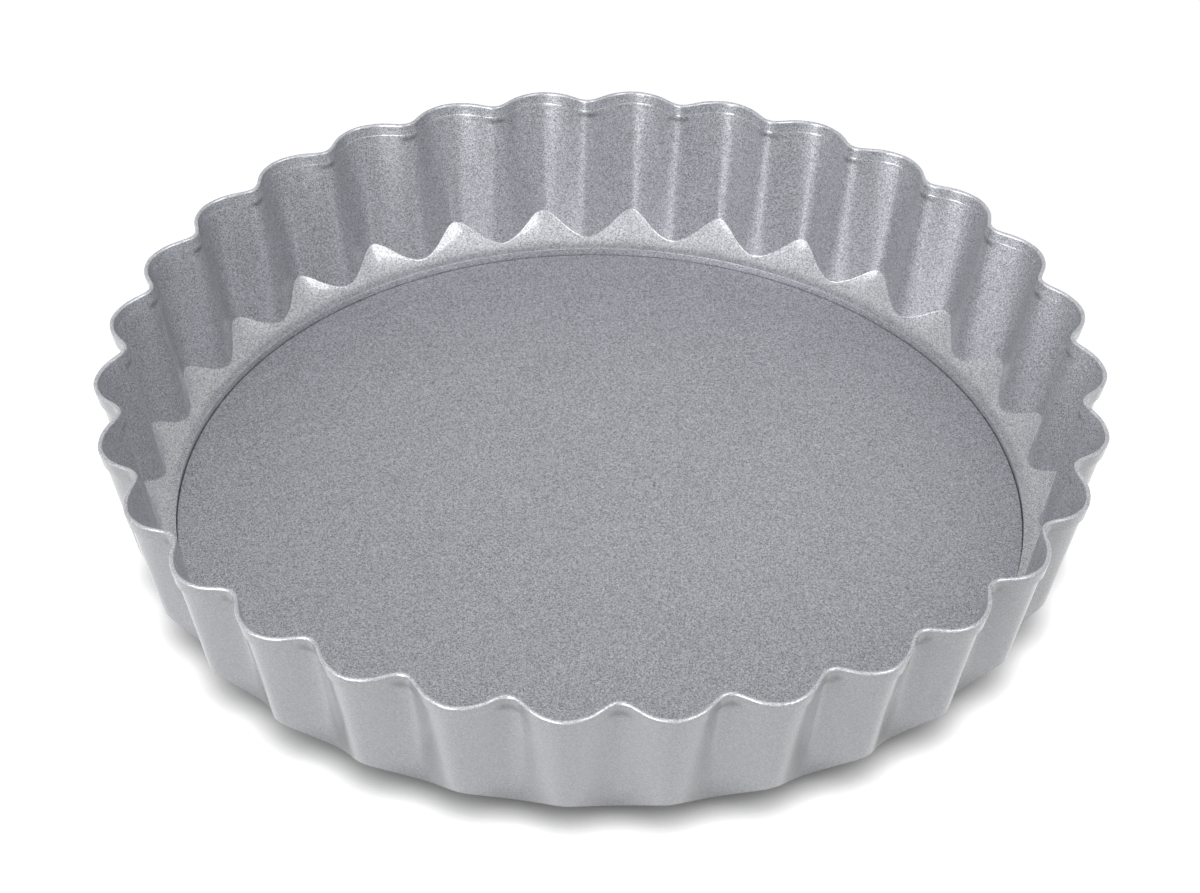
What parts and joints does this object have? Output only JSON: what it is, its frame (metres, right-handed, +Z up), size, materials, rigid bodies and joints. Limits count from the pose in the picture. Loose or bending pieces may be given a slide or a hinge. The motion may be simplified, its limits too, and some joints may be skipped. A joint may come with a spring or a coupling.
{
  "type": "loose-bottom tart pan",
  "caption": "Round fluted tart pan: a ring with sloping pleated walls and a hemmed rim, and a flat loose base that rests on a seat inside it and lifts out upward.",
  "frame": {"origin": "on the table, at the middle of the ring", "axes": "+Z up along the pan's axis, +X through the middle of a flute peak"},
  "size_m": [0.28, 0.2784, 0.0493],
  "materials": {
    "ring_coating": "silver-grey metallic-flake non-stick coating on pressed steel, satin",
    "base_coating": "silver-grey metallic-flake non-stick coating on flat steel, satin with a coarser speckle"
  },
  "bodies": {
    "ring": {"fluted_ring": "ring_coating"},
    "base": {"loose_base": "base_coating"}
  },
  "joints": [
    {"name": "base_lift", "type": "slide", "parent": "ring", "child": "base", "axis": [0, 0, 1], "range_m": [0, 0.06]}
  ]
}
